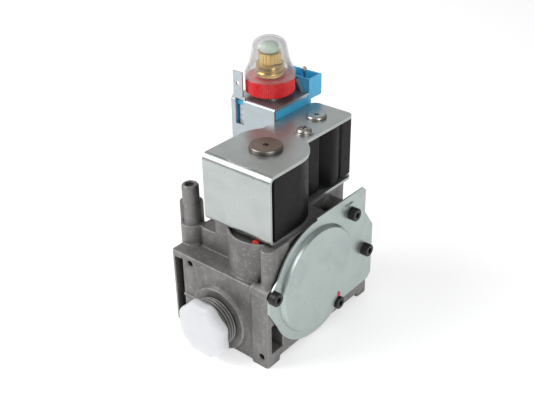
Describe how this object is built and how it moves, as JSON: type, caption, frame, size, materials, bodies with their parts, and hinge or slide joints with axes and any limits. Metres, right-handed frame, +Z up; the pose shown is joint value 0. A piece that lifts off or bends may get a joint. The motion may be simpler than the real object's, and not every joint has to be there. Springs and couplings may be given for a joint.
{
  "type": "gas valve",
  "caption": "Combination gas control for a wall-hung boiler: die-cast body, solenoid coils under a bent bracket, diaphragm cover and a modulating pressure regulator.",
  "frame": {"origin": "on the base plane, directly below the inlet and outlet axis, midway between the casting's front and rear faces", "axes": "+Y along the gas flow from inlet to outlet, +X towards the diaphragm cover, +Z up towards the coils"},
  "size_m": [0.0754, 0.1155, 0.1415],
  "materials": {
    "cast_aluminium": "as-cast, fine grain",
    "stainless_gauze": "woven",
    "white_plastic": "soft satin",
    "steel": "turned",
    "zinc_cover": "bright zinc plate, satin",
    "black_oxide": "black oxide, satin",
    "rubber": "matte",
    "spring_steel": "drawn wire",
    "zinc_plated_steel": "bright zinc plate, satin",
    "nickel": "nickel plate",
    "black_plastic": "fine moulded grain",
    "copper": "enamelled wire",
    "ivory_plastic": "moulded",
    "brass": "turned",
    "zinc_modulator": "bright zinc plate",
    "blue_plastic": "moulded",
    "winding_tape": "wound tape",
    "green_plastic": "moulded",
    "red_plastic": "moulded, knurled",
    "clear_plastic": "clear, thin"
  },
  "bodies": {
    "valve": {"valve_body": "cast_aluminium", "inlet_filter": "stainless_gauze", "diaphragm_cover": "zinc_cover", "cover_screws": "black_oxide", "main_diaphragm": "rubber", "main_valve_spring": "spring_steel", "solenoid_bracket": "zinc_plated_steel", "bracket_screw": "nickel", "safety_coil": "black_plastic", "safety_coil_winding": "copper", "safety_coil_bobbin": "ivory_plastic", "safety_core_tube": "brass", "safety_fixed_core": "steel", "safety_cap_screw": "nickel", "safety_spring": "spring_steel", "safety_tube_o_ring": "rubber", "pilot_coil": "black_plastic", "pilot_coil_winding": "copper", "pilot_coil_bobbin": "ivory_plastic", "coil_contacts": "nickel", "pilot_core_tube": "brass", "pilot_fixed_core": "steel", "pilot_cap_screw": "nickel", "pilot_spring": "spring_steel", "pilot_tube_o_ring": "rubber", "regulator_diaphragm": "rubber", "regulator_cover": "cast_aluminium", "regulator_screws": "nickel", "modulator_bracket": "zinc_modulator", "modulator_base_plate": "zinc_modulator", "modulator_bobbin": "blue_plastic", "modulator_winding": "winding_tape", "modulator_terminals": "nickel", "modulator_tube": "steel", "modulator_spring": "spring_steel"},
    "inlet_cap_body": {"inlet_cap": "white_plastic"},
    "safety_valve": {"safety_plunger": "steel", "safety_valve_seal": "rubber"},
    "pilot_valve": {"pilot_plunger": "steel", "pilot_valve_seal": "rubber"},
    "main_valve": {"main_valve_stem": "steel", "main_valve_seal": "rubber", "diaphragm_plates": "steel"},
    "regulator_armature": {"modulator_armature": "steel", "regulator_pushrod": "steel"},
    "adjuster_seat": {"spring_seat": "brass"},
    "maximum_adjuster": {"brass_adjuster": "brass"},
    "minimum_adjuster": {"minimum_screw": "green_plastic"},
    "ring": {"ring_nut": "red_plastic"},
    "clear_cap": {"transparent_cap": "clear_plastic"},
    "nipple_screw": {"test_nipple_screw": "steel"}
  },
  "joints": [
    {"name": "inlet_cap_pull", "type": "slide", "parent": "valve", "child": "inlet_cap_body", "axis": [0, -1, 0], "range_m": [0, 0.02]},
    {"name": "safety_valve_lift", "type": "slide", "parent": "valve", "child": "safety_valve", "axis": [0, 0, 1], "range_m": [0, 0.003], "stiffness_N_per_m": 150, "springref_m": -0.02, "deforming": ["safety_spring"]},
    {"name": "pilot_valve_lift", "type": "slide", "parent": "valve", "child": "pilot_valve", "axis": [0, 0, 1], "range_m": [0, 0.0025], "stiffness_N_per_m": 120, "springref_m": -0.02, "deforming": ["pilot_spring"]},
    {"name": "main_valve_lift", "type": "slide", "parent": "valve", "child": "main_valve", "axis": [1, 0, 0], "range_m": [0, 0.0035], "stiffness_N_per_m": 300, "springref_m": -0.01, "deforming": ["main_valve_spring", "main_diaphragm"]},
    {"name": "armature_travel", "type": "slide", "parent": "valve", "child": "regulator_armature", "axis": [0, 0, 1], "range_m": [0, 0.0012], "stiffness_N_per_m": 200, "springref_m": -0.005, "deforming": ["modulator_spring"]},
    {"name": "adjuster_travel", "type": "slide", "parent": "valve", "child": "adjuster_seat", "axis": [0, 0, 1], "range_m": [-0.000375, 0.000375]},
    {"name": "maximum_adjuster_turn", "type": "hinge", "parent": "adjuster_seat", "child": "maximum_adjuster", "pos_m": [-0.023, 0.0275, 0.12], "axis": [0, 0, 1], "range_deg": [-180, 180]},
    {"name": "minimum_adjuster_turn", "type": "hinge", "parent": "maximum_adjuster", "child": "minimum_adjuster", "pos_m": [-0.023, 0.0275, 0.13], "axis": [0, 0, 1], "range_deg": [-180, 180]},
    {"name": "ring_turn", "type": "hinge", "parent": "valve", "child": "ring", "pos_m": [-0.023, 0.0275, 0.117], "axis": [0, 0, 1], "range_deg": [0, 360]},
    {"name": "clear_cap_lift", "type": "slide", "parent": "valve", "child": "clear_cap", "axis": [0, 0, 1], "range_m": [0, 0.025]},
    {"name": "nipple_screw_turn", "type": "hinge", "parent": "valve", "child": "nipple_screw", "pos_m": [-0.03, -0.0283, 0.07], "axis": [0, 0, 1], "range_deg": [0, 360]}
  ],
  "couplings": [
    {"joint": "maximum_adjuster_turn", "follows": "adjuster_travel", "rad_per_m": 8377.6}
  ]
}
